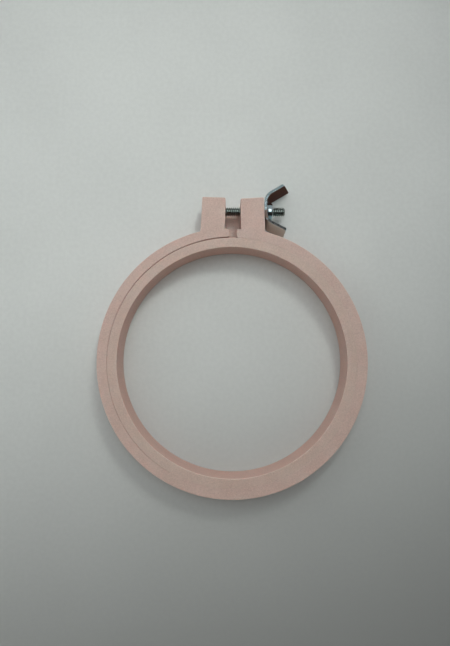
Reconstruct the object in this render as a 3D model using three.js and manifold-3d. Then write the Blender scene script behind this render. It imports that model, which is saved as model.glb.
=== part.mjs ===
// Embroidery hoop: a split outer hoop with two lugs and a tongue, a plain inner hoop, a bolt and a wing nut.
// Millimetres. +Z is up off the table, +Y runs from the hoops' middle to the lugs, +X to the wing nut.
import * as THREE from 'three';
import { mergeVertices } from 'three/addons/utils/BufferGeometryUtils.js';
import Module from 'manifold-3d';

const wasm = await Module();
wasm.setup();

// Hoops
const hoopSize = 127; // outside of the inner hoop, the size that the hoop is sold by
const hoopHeight = 16;
const innerHoopWall = 4.94;
const outerHoopWall = 5.15;
const hoopClearance = 0.15; // between the two hoops, on the radius
const hoopEdge = 0.25; // rounding of the moulded edges

// Lugs and the gap between them
const slitWidth = 4.04;
const gapFloorDepth = 0.8; // how far the wide gap cuts into the hoop's wall
const gapRootWidth = 8.4;
const gapEndWidth = 7.76;
const lugRootWidth = 12.55;
const lugEndWidth = 12.2;
const lugReach = 16.25; // from the outer hoop's outside to the lug's far corner
const lugEndSkew = 0.58; // the lugs lean inwards, so each end face slopes
const lugCorner = 0.55; // corners in plan, on top of the rounded edge
const slitCorner = 0.55;
const toeCorner = 0.2;
const lugRootFillet = 1.2;

// Tongue: a thin leaf on the right lug that bridges the gap at the table side and slides under the left lug
const tongueThickness = 1;
const tongueFromBore = 2.55; // the tongue starts this far out from the bore
const tonguePastBolt = 1.4; // and ends this far past the bolt's axis
const tongueLap = 5; // how far it lies under the left lug
const tongueCorner = 0.8;
const tongueClearance = 0.3; // above it and round it, in the left lug's recess

// Bolt: number 10 size, 24 threads to the inch
const boltDiameter = 4.83;
const boltPitch = 25.4 / 24;
const threadDepthShare = 0.65; // the plain shank stands at the thread's mean diameter
const boltFromLugEnd = 5.45; // bolt axis to the lug's far corner
const boltHeadFlats = 7.94;
const boltHeadHeight = 3.05;
const boltHeadChamfer = 0.35;
const boltTipChamfer = 0.6;
const boltStub = 6.4; // how far the bolt shows past the nut's collar
const headRecess = 0.5; // the head lies this far below the left lug's face
const headGap = 0.2; // under the head
const pocketClearance = 0.3; // round the head
const holeClearance = 0.3; // round the thread

// Loosening: the nut backs off by these turns and the outer hoop springs open by as much
const turnsOpen = 4;

// Wing nut, pressed from sheet
const sheet = 1.3;
const nutWidth = 10.4;
const nutFlat = 3.3; // half length of its flat seat
const bendRadius = 6.5; // outside of the bend
const wingSlant = 0.7; // each bend line runs aslant, by this much at either side
const wingCorner = 1.0;
const upperWingBend = 58; // degrees up from the seat
const upperWingLength = 10.15; // its flat part, on the middle line
const upperTipSlant = 2.1; // its tip is cut aslant, the other way from the bend line
const lowerWingBend = 62;
const lowerWingLength = 8.1;
const lowerTipSlant = 0.45;
const nutTurn = 6; // degrees round the bolt, as it was left
const collarDiameter = 9.2;
const collarHeight = 4.6; // from the seat
const collarShoulder = 1.1;
const collarFlare = 0.6;
const boreClearance = 0.1; // outside the bolt's thread crests
const boreChamfer = 0.4;
const seatGap = 0.12; // to the highest point of the leaning lug under the seat

// Facets
const hoopSteps = 144;
const roundSteps = 48;
const cornerSteps = 4;
const edgeSteps = 2;
const bendSteps = 7;

const degrees = THREE.MathUtils.degToRad;

const seamRadius = hoopSize / 2;
const innerHoopBore = seamRadius - innerHoopWall;
const outerHoopBore = seamRadius + hoopClearance;
const outerHoopRadius = outerHoopBore + outerHoopWall;
const gapFloorY = outerHoopRadius - gapFloorDepth;
const lugEndY = outerHoopRadius + lugReach;
const lugRootX = gapRootWidth / 2 + lugRootWidth;
const lugEndX = gapEndWidth / 2 + lugEndWidth;
const boltY = lugEndY - boltFromLugEnd;
const boltZ = hoopHeight / 2;
const tongueNearY = outerHoopBore + tongueFromBore;
const tongueFarY = boltY + tonguePastBolt;
const tongueTipX = -(gapRootWidth / 2 + tongueLap);
const boltRadius = (boltDiameter - threadDepthShare * boltPitch) / 2;

const lever = boltY + outerHoopRadius; // bolt axis to the place where the outer hoop flexes
const openAngle = (turnsOpen * boltPitch) / lever;
const swing = lugRootX * Math.sin(openAngle) + lever * (1 - Math.cos(openAngle));

// X of a lug's outer face at a given Y
function lugFaceX(y) {
  return THREE.MathUtils.mapLinear(y, gapFloorY, lugEndY, lugRootX, lugEndX);
}

const seatReach = Math.hypot(nutFlat + wingSlant, nutWidth / 2);
const nutX = lugFaceX(boltY - seatReach) + seatGap;
const headTopX = -lugFaceX(boltY + boltHeadFlats / 2) + headRecess;
const headSeatX = headTopX + boltHeadHeight;
const boltTipX = nutX + collarHeight + boltStub;

function toSolid(geometry) {
  const bare = geometry.index ? geometry.clone() : geometry;
  bare.deleteAttribute('normal');
  bare.deleteAttribute('uv');
  const merged = mergeVertices(bare, 1e-5);
  return new wasm.Manifold(new wasm.Mesh({
    numProp: 3,
    vertProperties: new Float32Array(merged.attributes.position.array),
    triVerts: new Uint32Array(merged.index.array),
  }));
}

function toGeometry(solid) {
  const mesh = solid.getMesh();
  const geometry = new THREE.BufferGeometry();
  geometry.setAttribute('position', new THREE.BufferAttribute(mesh.vertProperties, 3));
  geometry.setIndex(new THREE.BufferAttribute(mesh.triVerts, 1));
  geometry.computeVertexNormals();
  return geometry;
}

// A closed outline from corner points [x, y, radius], with an arc at each corner that has a radius
function roundedOutline(corners, steps) {
  const outline = [];
  corners.forEach(([x, y, radius], i) => {
    const here = new THREE.Vector2(x, y);
    if (!radius) {
      outline.push(here);
      return;
    }
    const [beforeX, beforeY] = corners.at(i - 1);
    const [afterX, afterY] = corners[(i + 1) % corners.length];
    const back = new THREE.Vector2(beforeX, beforeY).sub(here).normalize();
    const on = new THREE.Vector2(afterX, afterY).sub(here).normalize();
    const half = Math.acos(back.dot(on)) / 2;
    const start = here.clone().addScaledVector(back, radius / Math.tan(half));
    const middle = back.clone().add(on).normalize().multiplyScalar(radius / Math.sin(half)).add(here);
    const turn = Math.sign(back.cross(on)) * (Math.PI - 2 * half);
    for (let k = 0; k <= steps; k += 1) {
      outline.push(start.clone().rotateAround(middle, (-turn * k) / steps));
    }
  });
  return outline;
}

// A straight bar along X between two X values, from its section in Y and Z
function barAlongX(outline, fromX, toX) {
  const bar = new THREE.ExtrudeGeometry(new THREE.Shape(outline), { depth: toX - fromX, bevelEnabled: false });
  const turn = new THREE.Matrix4().makeBasis(
    new THREE.Vector3(0, 1, 0),
    new THREE.Vector3(0, 0, 1),
    new THREE.Vector3(1, 0, 0),
  );
  return bar.applyMatrix4(turn).translate(fromX, 0, 0);
}

// A turned piece on the X axis, from [radius, x] points that start and end on the axis
function turnedAlongX(profile) {
  const points = profile.map(([radius, x]) => new THREE.Vector2(radius, x));
  return new THREE.LatheGeometry(points, roundSteps).rotateZ(-Math.PI / 2);
}

// Corners on a circle, with a flat side square to the first axis at either end of it
function circleOutline(radius, steps) {
  const outline = [];
  for (let k = 0; k < steps; k += 1) {
    const angle = (2 * Math.PI * (k + 0.5)) / steps;
    outline.push(new THREE.Vector2(radius * Math.cos(angle), radius * Math.sin(angle)));
  }
  return outline;
}

function hexOutline(flats) {
  return circleOutline(flats / 2 / Math.cos(Math.PI / 6), 6);
}

// The outline cut at the second axis, with its far half moved out and the cut bridged
function stretchedOutline(outline, stretch) {
  return outline.flatMap((corner) => {
    const moved = new THREE.Vector2(corner.x + stretch, corner.y);
    if (Math.abs(corner.x) > 1e-6) {
      return corner.x > 0 ? [moved] : [corner];
    }
    return corner.y > 0 ? [moved, corner] : [corner, moved];
  });
}

// Section of the inner hoop with its four edges rounded, in radius and height
function innerHoop() {
  const section = roundedOutline([
    [innerHoopBore, 0, hoopEdge],
    [seamRadius, 0, hoopEdge],
    [seamRadius, hoopHeight, hoopEdge],
    [innerHoopBore, hoopHeight, hoopEdge],
  ], edgeSteps);
  section.push(section[0].clone());
  const ring = new THREE.LatheGeometry(section, hoopSteps);
  return toGeometry(toSolid(ring.rotateX(Math.PI / 2)));
}

// Plan of the whole outer hoop: round the outside from the right lug to the left, and back round the bore
function outerHoopPlan() {
  const slitX = slitWidth / 2;
  const slitFootY = Math.sqrt(outerHoopBore ** 2 - slitX ** 2);
  const lugFootY = Math.sqrt(outerHoopRadius ** 2 - lugRootX ** 2);
  const rightLug = [
    [slitX, slitFootY, hoopEdge + slitCorner],
    [slitX, gapFloorY, hoopEdge + toeCorner],
    [gapRootWidth / 2, gapFloorY, 0],
    [gapEndWidth / 2, lugEndY - lugEndSkew, hoopEdge + lugCorner],
    [lugEndX, lugEndY, hoopEdge + lugCorner],
    [lugRootX, lugFootY, lugRootFillet],
  ];
  const leftLug = rightLug.map(([x, y, radius]) => [-x, y, radius]).reverse();
  const step = (2 * Math.PI) / hoopSteps;
  const outside = [];
  const lugAngle = Math.atan2(lugRootX, lugFootY);
  const firstStep = Math.ceil(lugAngle / step + 0.5);
  for (let k = firstStep; k <= hoopSteps - firstStep; k += 1) {
    outside.push([outerHoopRadius * Math.sin(k * step), outerHoopRadius * Math.cos(k * step), 0]);
  }
  const bore = [];
  const slitStep = Math.ceil(Math.atan2(slitX, slitFootY) / step + 0.5);
  for (let k = hoopSteps - slitStep; k >= slitStep; k -= 1) {
    bore.push([outerHoopBore * Math.sin(k * step), outerHoopBore * Math.cos(k * step), 0]);
  }
  return roundedOutline([...rightLug, ...outside, ...leftLug, ...bore], cornerSteps);
}

// The moulding in one piece, extruded from its plan with rounded edges top and bottom
function outerHoopBody() {
  const body = new THREE.ExtrudeGeometry(new THREE.Shape(outerHoopPlan()), {
    depth: hoopHeight - 2 * hoopEdge,
    bevelThickness: hoopEdge,
    bevelSize: hoopEdge,
    bevelOffset: -hoopEdge,
    bevelSegments: edgeSteps,
  });
  return toSolid(body.translate(0, 0, hoopEdge));
}

// All of space on one side of the plane X = 0, as far as the hoop reaches
function halfSpace(side) {
  const size = 4 * lugEndY;
  return toSolid(new THREE.BoxGeometry(size, size, size).translate((side * size) / 2, 0, 0));
}

// A flat leaf from inside the right lug to the tongue's tip, grown all round and raised by a clearance
function tongueLeaf(clearance) {
  const rootX = gapRootWidth / 2 + tongueCorner;
  const corner = tongueCorner + clearance;
  const outline = roundedOutline([
    [rootX, tongueNearY - clearance, 0],
    [rootX, tongueFarY + clearance, 0],
    [tongueTipX - clearance, tongueFarY + clearance, corner],
    [tongueTipX - clearance, tongueNearY - clearance, corner],
  ], cornerSteps);
  const leaf = new THREE.ExtrudeGeometry(new THREE.Shape(outline), {
    depth: tongueThickness + 2 * clearance,
    bevelEnabled: false,
  });
  return toSolid(leaf.translate(0, 0, -clearance));
}

// The right half has a round hole for the bolt, and carries the tongue
function outerHoopRight(body) {
  const hole = barAlongX(circleOutline(boltDiameter / 2 + holeClearance, roundSteps), 0, 2 * lugRootX);
  const drill = toSolid(hole.translate(0, boltY, boltZ));
  return toGeometry(body.intersect(halfSpace(1)).subtract(drill).add(tongueLeaf(0)));
}

// The left half has the tongue's recess, the head's pocket and a hole. The pocket and the hole are longer in Y
// because the lug swings as it opens
function outerHoopLeft(body) {
  const far = -2 * lugRootX;
  const round = circleOutline(boltDiameter / 2 + holeClearance, roundSteps);
  const hex = hexOutline(boltHeadFlats + 2 * pocketClearance);
  const hole = barAlongX(stretchedOutline(round, swing), far, 0);
  const pocket = barAlongX(stretchedOutline(hex, swing), far, headSeatX + headGap);
  const drill = toSolid(hole.translate(0, boltY, boltZ));
  const socket = toSolid(pocket.translate(0, boltY, boltZ));
  const recess = tongueLeaf(tongueClearance);
  return toGeometry(body.intersect(halfSpace(-1)).subtract(drill).subtract(socket).subtract(recess));
}

// Hex head with its outer corners turned off, and a plain shank with a chamfered tip
function clampBolt() {
  const corner = boltHeadFlats / 2 / Math.cos(Math.PI / 6);
  const hex = toSolid(barAlongX(hexOutline(boltHeadFlats), headTopX, headSeatX));
  const trim = toSolid(turnedAlongX([
    [0, headTopX],
    [boltHeadFlats / 2 - boltHeadChamfer / 2, headTopX],
    [corner, headTopX + boltHeadChamfer],
    [corner, headSeatX],
    [0, headSeatX],
  ]));
  const shank = toSolid(turnedAlongX([
    [0, headTopX + boltHeadHeight / 2],
    [boltRadius, headTopX + boltHeadHeight / 2],
    [boltRadius, boltTipX - boltTipChamfer],
    [boltRadius - boltTipChamfer, boltTipX],
    [0, boltTipX],
  ]));
  return toGeometry(hex.intersect(trim).add(shank));
}

// Places across the nut's sheet, each with how far the wing's rounded corner is trimmed back there
function sheetColumns() {
  const turns = [90, 60, 30, 0];
  const left = turns.map((turn) => ({
    across: -(nutWidth / 2 - wingCorner + wingCorner * Math.sin(degrees(turn))),
    trim: wingCorner * (1 - Math.cos(degrees(turn))),
  }));
  const right = left.map(({ across, trim }) => ({ across: -across, trim })).reverse();
  return [...left, ...right];
}

const upperWing = { side: 1, bend: degrees(upperWingBend), length: upperWingLength, tipSlant: upperTipSlant };
const lowerWing = { side: -1, bend: degrees(lowerWingBend), length: lowerWingLength, tipSlant: lowerTipSlant };

// One row of points along a wing: how far out, how far up, and which way the sheet slopes there
function wingRows({ side, bend, length, tipSlant }, { across, trim }) {
  const aslant = (side * across) / (nutWidth / 2);
  const start = nutFlat + wingSlant * aslant;
  const rows = [];
  for (let k = 0; k <= bendSteps; k += 1) {
    const slope = (bend * k) / bendSteps;
    rows.push({
      out: start + bendRadius * Math.sin(slope),
      up: bendRadius * (1 - Math.cos(slope)),
      slope,
      side,
    });
  }
  const last = rows.at(-1);
  const straight = length - tipSlant * aslant - trim;
  rows.push({
    out: last.out + straight * Math.cos(bend),
    up: last.up + straight * Math.sin(bend),
    slope: bend,
    side,
  });
  return rows;
}

// The bent sheet from the lower wing's tip, across the flat seat, to the upper wing's tip
function bentSheet() {
  const columns = sheetColumns().map((column) => {
    const along = [...wingRows(lowerWing, column).reverse(), ...wingRows(upperWing, column)];
    return along.map(({ out, up, slope, side }) => ({
      back: [up, side * out, column.across],
      front: [up + sheet * Math.cos(slope), side * (out - sheet * Math.sin(slope)), column.across],
    }));
  });
  return stitchSheet(columns);
}

// A closed body from a grid of back and front points
function stitchSheet(columns) {
  const rows = columns[0].length;
  const positions = columns.flatMap((column) => column.flatMap(({ back, front }) => [...back, ...front]));
  const index = [];
  const at = (column, row, front) => 2 * (column * rows + row) + front;
  const quad = (a, b, c, d) => index.push(a, b, c, a, c, d);
  const lastColumn = columns.length - 1;
  for (let row = 0; row < rows - 1; row += 1) {
    for (let column = 0; column < lastColumn; column += 1) {
      quad(at(column, row, 1), at(column, row + 1, 1), at(column + 1, row + 1, 1), at(column + 1, row, 1));
      quad(at(column, row, 0), at(column + 1, row, 0), at(column + 1, row + 1, 0), at(column, row + 1, 0));
    }
    quad(at(0, row, 0), at(0, row + 1, 0), at(0, row + 1, 1), at(0, row, 1));
    quad(at(lastColumn, row, 1), at(lastColumn, row + 1, 1), at(lastColumn, row + 1, 0), at(lastColumn, row, 0));
  }
  for (let column = 0; column < lastColumn; column += 1) {
    quad(at(column, 0, 0), at(column, 0, 1), at(column + 1, 0, 1), at(column + 1, 0, 0));
    quad(
      at(column, rows - 1, 1),
      at(column, rows - 1, 0),
      at(column + 1, rows - 1, 0),
      at(column + 1, rows - 1, 1),
    );
  }
  const geometry = new THREE.BufferGeometry();
  geometry.setAttribute('position', new THREE.Float32BufferAttribute(positions, 3));
  geometry.setIndex(index);
  return geometry;
}

// A quarter round in [radius, x] points, from one end of the arc to the other
function arcPoints(centreRadius, centreX, radius, fromAngle, toAngle, steps) {
  const points = [];
  for (let k = 0; k <= steps; k += 1) {
    const angle = degrees(THREE.MathUtils.lerp(fromAngle, toAngle, k / steps));
    points.push([centreRadius + radius * Math.cos(angle), centreX + radius * Math.sin(angle)]);
  }
  return points;
}

// The drawn collar, flared where it leaves the sheet and rounded at its rim
function drawnCollar() {
  const radius = collarDiameter / 2;
  return turnedAlongX([
    [0, sheet / 2],
    [radius, sheet / 2],
    ...arcPoints(radius + collarFlare, sheet + collarFlare, collarFlare, 270, 180, 4),
    ...arcPoints(radius - collarShoulder, collarHeight - collarShoulder, collarShoulder, 0, 90, 5),
    [0, collarHeight],
  ]);
}

function nutBore() {
  const radius = boltDiameter / 2 + boreClearance;
  const past = sheet;
  return turnedAlongX([
    [0, -past],
    [radius + boreChamfer + past, -past],
    [radius, boreChamfer],
    [radius, collarHeight - boreChamfer],
    [radius + boreChamfer + past, collarHeight + past],
    [0, collarHeight + past],
  ]);
}

// The wing nut in its own frame: its seat at X = 0, its axis along X and its wings along Y
function wingNut() {
  const nut = toSolid(bentSheet()).add(toSolid(drawnCollar())).subtract(toSolid(nutBore()));
  return toGeometry(nut);
}

const outerPlastic = { color: 0xd9beb4, roughness: 0.55, metalness: 0 };
const innerPlastic = { color: 0xd8c0b5, roughness: 0.55, metalness: 0 };
const platedSteel = { color: 0xb9c0c4, roughness: 0.25, metalness: 1 };

function part(name, geometry, look) {
  const mesh = new THREE.Mesh(geometry, new THREE.MeshStandardMaterial(look));
  mesh.name = name;
  return mesh;
}

const embroideryHoop = new THREE.Group();
const moulding = outerHoopBody();
embroideryHoop.add(part('outer_hoop_right', outerHoopRight(moulding), outerPlastic));
embroideryHoop.add(part('outer_hoop_left', outerHoopLeft(moulding), outerPlastic));
embroideryHoop.add(part('inner_hoop', innerHoop(), innerPlastic));

const clamp = new THREE.Group();
clamp.position.set(0, boltY, boltZ);
clamp.add(part('clamp_bolt', clampBolt(), platedSteel));
const nut = part('wing_nut', wingNut(), platedSteel);
nut.position.x = nutX;
nut.rotation.x = degrees(-nutTurn);
clamp.add(nut);
embroideryHoop.add(clamp);

// The origin is under the middle of the whole object, on the table
const middle = new THREE.Box3().setFromObject(embroideryHoop, true).getCenter(new THREE.Vector3());
embroideryHoop.position.set(-middle.x, -middle.y, 0);

export default embroideryHoop;
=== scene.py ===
"""Dresses the embroidery hoop: two moulded hoops, the clamp bolt and the pressed wing nut.

The frame is in metres. Sizes in the classes below are millimetres, and MM turns them into metres.
"""

import logging
import math
from collections.abc import Iterable, Sequence
from dataclasses import dataclass, field
from enum import Enum
from typing import Any

import bmesh
import bpy
from mathutils import Matrix, Vector

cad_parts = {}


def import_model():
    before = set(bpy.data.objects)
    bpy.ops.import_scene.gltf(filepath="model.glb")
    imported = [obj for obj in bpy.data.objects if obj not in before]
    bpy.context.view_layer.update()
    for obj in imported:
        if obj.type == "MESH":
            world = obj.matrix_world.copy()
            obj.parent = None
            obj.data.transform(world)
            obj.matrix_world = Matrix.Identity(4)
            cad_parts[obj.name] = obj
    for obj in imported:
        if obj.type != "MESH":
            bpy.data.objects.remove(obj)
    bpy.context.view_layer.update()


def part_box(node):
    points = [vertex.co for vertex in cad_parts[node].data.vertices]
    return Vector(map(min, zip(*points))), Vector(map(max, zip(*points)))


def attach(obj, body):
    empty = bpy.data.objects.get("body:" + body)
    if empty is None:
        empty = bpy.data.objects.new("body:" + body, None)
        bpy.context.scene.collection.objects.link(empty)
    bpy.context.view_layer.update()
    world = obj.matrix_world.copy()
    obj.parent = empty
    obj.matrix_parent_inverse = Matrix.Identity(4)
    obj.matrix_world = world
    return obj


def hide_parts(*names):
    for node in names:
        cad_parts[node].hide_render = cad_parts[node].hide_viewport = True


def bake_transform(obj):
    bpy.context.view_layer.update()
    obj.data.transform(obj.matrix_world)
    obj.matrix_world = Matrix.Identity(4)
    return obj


LOG = logging.getLogger("embroidery_hoop")
MM = 0.001
Colour = tuple[float, float, float]
Place = tuple[float, float, float]
Span = tuple[float, float]
Sockets = dict[str | int, Any]
Ring = list[bmesh.types.BMVert]


class Slot(Enum):
    """The record's material slots."""

    OUTER_PLASTIC = "outer_plastic"
    INNER_PLASTIC = "inner_plastic"
    BOLT_STEEL = "bolt_steel"
    NUT_STEEL = "nut_steel"


class Body(Enum):
    """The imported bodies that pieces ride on."""

    OUTER = "outer_hoop"
    OUTER_LEFT = "outer_hoop_left_side"
    INNER = "inner_hoop"
    BOLT = "bolt"
    NUT = "wing_nut"


class Join(Enum):
    """What a tool body does to the body that it is set against."""

    CUT = "DIFFERENCE"
    ADD = "UNION"
    KEEP_COMMON = "INTERSECT"


def share_between(value: float, low: float, high: float) -> float:
    """How far a value has come from one limit to the other, 0 to 1."""
    return max(0.0, min(1.0, (value - low) / (high - low)))


def toned(colour: Colour, by: float | Colour) -> Colour:
    """Multiplies a colour by a number, or by another colour part by part."""
    factors = (by,) * 3 if isinstance(by, float) else by
    return tuple(part * factor for part, factor in zip(colour, factors))


# Node trees


@dataclass(frozen=True)
class Wire:
    """A value on its way through a node tree. Sums on it add Math nodes."""

    bench: "Bench"
    socket: bpy.types.NodeSocket

    def __add__(self, other: "Wire | float") -> "Wire":
        """This plus the other."""
        return self.bench.maths("ADD", self, other)

    def __sub__(self, other: "Wire | float") -> "Wire":
        """This minus the other."""
        return self.bench.maths("SUBTRACT", self, other)

    def __rsub__(self, other: float) -> "Wire":
        """The other minus this."""
        return self.bench.maths("SUBTRACT", other, self)

    def __mul__(self, other: "Wire | float") -> "Wire":
        """This times the other."""
        return self.bench.maths("MULTIPLY", self, other)

    def __truediv__(self, other: "Wire | float") -> "Wire":
        """This over the other."""
        return self.bench.maths("DIVIDE", self, other)

    __radd__ = __add__
    __rmul__ = __mul__


class Bench:
    """Lays nodes into one shader or geometry tree."""

    def __init__(self, tree: bpy.types.NodeTree) -> None:
        """Starts work on a tree."""
        self.tree = tree

    def node(self, kind: str, sockets: Sockets | None = None, **settings: Any) -> bpy.types.Node:
        """Adds a node, sets it, then fills its sockets.

        Args:
            kind: The node's type name.
            sockets: Values or wires by socket name or number.
            settings: The node's own properties, set before its sockets.

        Returns:
            The new node.
        """
        node = self.tree.nodes.new(kind)
        for name, value in settings.items():
            setattr(node, name, value)
        for key, value in (sockets or {}).items():
            socket = self.find(node.inputs, key)
            if isinstance(value, Wire):
                self.tree.links.new(value.socket, socket)
            else:
                socket.default_value = value
        return node

    def find(self, sockets: Iterable[bpy.types.NodeSocket], key: str | int) -> bpy.types.NodeSocket:
        """Finds a socket that is in use, by its number among them or by its name."""
        live = [socket for socket in sockets if socket.enabled]
        return live[key] if isinstance(key, int) else next(socket for socket in live if socket.name == key)

    def wire(self, node: bpy.types.Node, output: str | int = 0) -> Wire:
        """A node's output as a wire, by its name or number."""
        return Wire(self, self.find(node.outputs, output))

    def add(self, kind: str, sockets: Sockets | None = None, output: str | int = 0, **settings: Any) -> Wire:
        """Adds a node and takes one of its outputs."""
        return self.wire(self.node(kind, sockets, **settings), output)

    def maths(self, operation: str, *values: Wire | float) -> Wire:
        """Adds one Math node and takes its result."""
        return self.add("ShaderNodeMath", dict(enumerate(values)), operation=operation)

    def ramp(self, value: Wire, low: float, high: float) -> Wire:
        """Rises smoothly from 0 where the value is low to 1 where it is high."""
        sockets = {"Value": value, "From Min": low, "From Max": high}
        return self.add("ShaderNodeMapRange", sockets, interpolation_type="SMOOTHSTEP")

    def blend(self, mask: Wire | float, start: Wire | Colour, end: Wire | Colour) -> Wire:
        """Mixes two colours: a mask of 0 gives the first, 1 the second."""
        pair = [colour if isinstance(colour, Wire) else (*colour, 1.0) for colour in (start, end)]
        return self.add("ShaderNodeMix", {"Factor": mask, "A": pair[0], "B": pair[1]}, data_type="RGBA")

    def noise(self, place: Wire, size: float, detail: float = 2.0) -> Wire:
        """Noise of about 0.3 to 0.7 whose features have one size, in millimetres."""
        return self.add("ShaderNodeTexNoise", {"Vector": place, "Scale": 1 / (size * MM), "Detail": detail})

    def part(self, vector: Wire, axis: str) -> Wire:
        """One coordinate of a vector."""
        return self.add("ShaderNodeSeparateXYZ", {"Vector": vector}, axis)

    def mark(self, name: str) -> Wire:
        """A mark that is kept as an attribute of the mesh."""
        return self.add("ShaderNodeAttribute", None, "Fac", attribute_name=name)


class Finish:
    """A procedural material in the making."""

    def start(self, name: str) -> tuple[bpy.types.Material, Bench, Wire]:
        """Makes an empty material.

        Args:
            name: The material's name.

        Returns:
            The material, a bench on its nodes, and the object coordinate.
        """
        material = bpy.data.materials.new(name)
        material.use_nodes = True
        material.node_tree.nodes.clear()
        bench = Bench(material.node_tree)
        return material, bench, bench.add("ShaderNodeTexCoord", None, "Object")

    def close(self, bench: Bench, height: Wire, depth: float, sockets: dict[str, Any],
              film: dict[str, Any] | None = None, cover: Wire | float = 0.0) -> None:
        """Adds the bump, the shader, a film over it where there is one, and the output.

        Args:
            bench: The material's bench.
            height: Bump height, 0 to 1.
            depth: What a height of 1 stands for, in millimetres.
            sockets: The shader's values and wires.
            film: The shader values and wires of a film over it, which can also carry a painted shadow.
            cover: Where the film lies, 0 to 1.
        """
        bump = bench.add("ShaderNodeBump", {"Distance": depth * MM, "Height": height})
        surface = bench.add("ShaderNodeBsdfPrincipled", {**sockets, "Normal": bump})
        if film:
            over = bench.add("ShaderNodeBsdfPrincipled", {**film, "Normal": bump})
            surface = bench.add("ShaderNodeMixShader", {0: cover, 1: surface, 2: over})
        bench.node("ShaderNodeOutputMaterial", {"Surface": surface})


@dataclass(frozen=True)
class MouldedPlastic(Finish):
    """Matte moulded plastic: an even fine grain, faint flow clouds, stray specks, and edges painted paler,
    partly as wear and partly as a painted highlight.

    Its walls get a painted shading tint that the top face doesn't: a deeper, redder pink as painted shade on
    the hoops, and a paler tone as painted light on the gap's tongue.
    """

    name: str
    tint: Colour
    shade: Colour
    height: float
    # Painted shading: multiplies the colour of the walls below the top face.
    painted_wall_shading: Colour = (1.23, 1.05, 1.04)
    grain: float = 0.6
    grain_depth: float = 0.016
    grain_share: float = 0.55
    grain_hollows: Span = (0.49, 0.30)
    grain_tops: Span = (0.51, 0.70)
    deep: float = 0.84
    pale: float = 1.16
    clouds: float = 9.0
    cloud_span: Span = (0.25, 0.75)
    wear: float = 2.4
    worn: Span = (0.48, 0.72)
    # Paler rounded edges: partly wear, partly a painted highlight.
    worn_and_highlight_share: float = 0.35
    worn_and_highlight_tint: Colour = (0.84, 0.74, 0.69)
    speck_spacing: float = 2.6
    speck_size: float = 0.055
    speck_share: float = 0.6
    speck_tint: Colour = (0.86, 0.80, 0.76)
    speck_choice: Span = (0.18, 0.16)
    edge: float = 0.25
    roughness: float = 0.52
    cloud_roughness: float = 0.10
    grain_roughness: float = 0.16
    worn_gloss: float = 0.12
    body_glow: float = 0.3
    body_tint: Colour = (1.0, 0.42, 0.32)
    depth: float = 2.0
    # Painted shade: the dark red laid into the seam between the hoops.
    hidden: Colour = (0.60, 0.29, 0.24)
    seam_shade_share: float = 0.4

    def material(self) -> bpy.types.Material:
        """Builds the material.

        Returns:
            The finished material.
        """
        material, bench, place = self.start(self.name)
        grain = bench.noise(place, self.grain, 3.0)
        cloud = bench.noise(place, self.clouds, 3.0)
        worn = bench.ramp(bench.noise(place, self.wear, 4.0), *self.worn)
        edge = self.edge_mask(bench, place)
        clouds = bench.ramp(cloud, *self.cloud_span)
        # Painted shading: the walls take a multiplied tint, a deeper, redder painted shade on the hoops and
        # a paler painted light on the tongue.
        walls = bench.blend(clouds, toned(self.shade, self.painted_wall_shading), toned(self.tint, self.painted_wall_shading))
        colour = bench.blend(self.top_mask(bench, place), walls, bench.blend(clouds, self.shade, self.tint))
        for mask, share, tint in (
            (bench.ramp(grain, *self.grain_hollows), self.grain_share, toned(self.shade, self.deep)),
            (bench.ramp(grain, *self.grain_tops), self.grain_share, toned(self.tint, self.pale)),
            # Painted shade in the seam between the hoops.
            (bench.mark("hidden"), self.seam_shade_share, self.hidden),
            (self.speck_mask(bench, place), self.speck_share, self.speck_tint),
            # Edges painted paler: wear where the noise allows, and a painted highlight on the rounding.
            (edge * (1.0 + worn), self.worn_and_highlight_share, self.worn_and_highlight_tint),
        ):
            colour = bench.blend(mask * share, colour, tint)
        uneven = self.cloud_roughness * (cloud - 0.5) + self.grain_roughness * (grain - 0.5)
        roughness = self.roughness + uneven - self.worn_gloss * edge * worn
        self.close(bench, grain, self.grain_depth, {
            "Base Color": colour, "Roughness": roughness, "Subsurface Weight": self.body_glow,
            "Subsurface Radius": self.body_tint, "Subsurface Scale": self.depth * MM})
        return material

    def top_mask(self, bench: Bench, place: Wire) -> Wire:
        """Marks the top face, by height alone."""
        low, high = ((self.height - inset * self.edge) * MM for inset in (0.9, 0.2))
        return bench.ramp(bench.part(place, "Z"), low, high)

    def edge_mask(self, bench: Bench, place: Wire) -> Wire:
        """Marks the rounded edges at the top and the bottom, by height alone.

        Args:
            bench: The material's bench.
            place: The object coordinate.

        Returns:
            1 on the rounded edges and 0 elsewhere.
        """
        middle = self.height * MM / 2
        out = bench.maths("ABSOLUTE", bench.part(place, "Z") - middle)
        low, high, over, end = (middle - inset * self.edge * MM for inset in (1.15, 0.75, 0.02, 0.12))
        return bench.ramp(out, low, high) * bench.ramp(out, over, end)

    def speck_mask(self, bench: Bench, place: Wire) -> Wire:
        """Scatters tiny pale specks, in about one cell in six.

        Args:
            bench: The material's bench.
            place: The object coordinate.

        Returns:
            1 on the specks and 0 elsewhere.
        """
        cells = bench.node("ShaderNodeTexVoronoi", {"Vector": place, "Scale": 1 / (self.speck_spacing * MM)})
        tone = bench.add("ShaderNodeSeparateColor", {"Color": bench.wire(cells, "Color")})
        near = bench.ramp(bench.wire(cells, "Distance"), self.speck_size, self.speck_size * 0.5)
        return bench.ramp(tone, *self.speck_choice) * near


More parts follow.
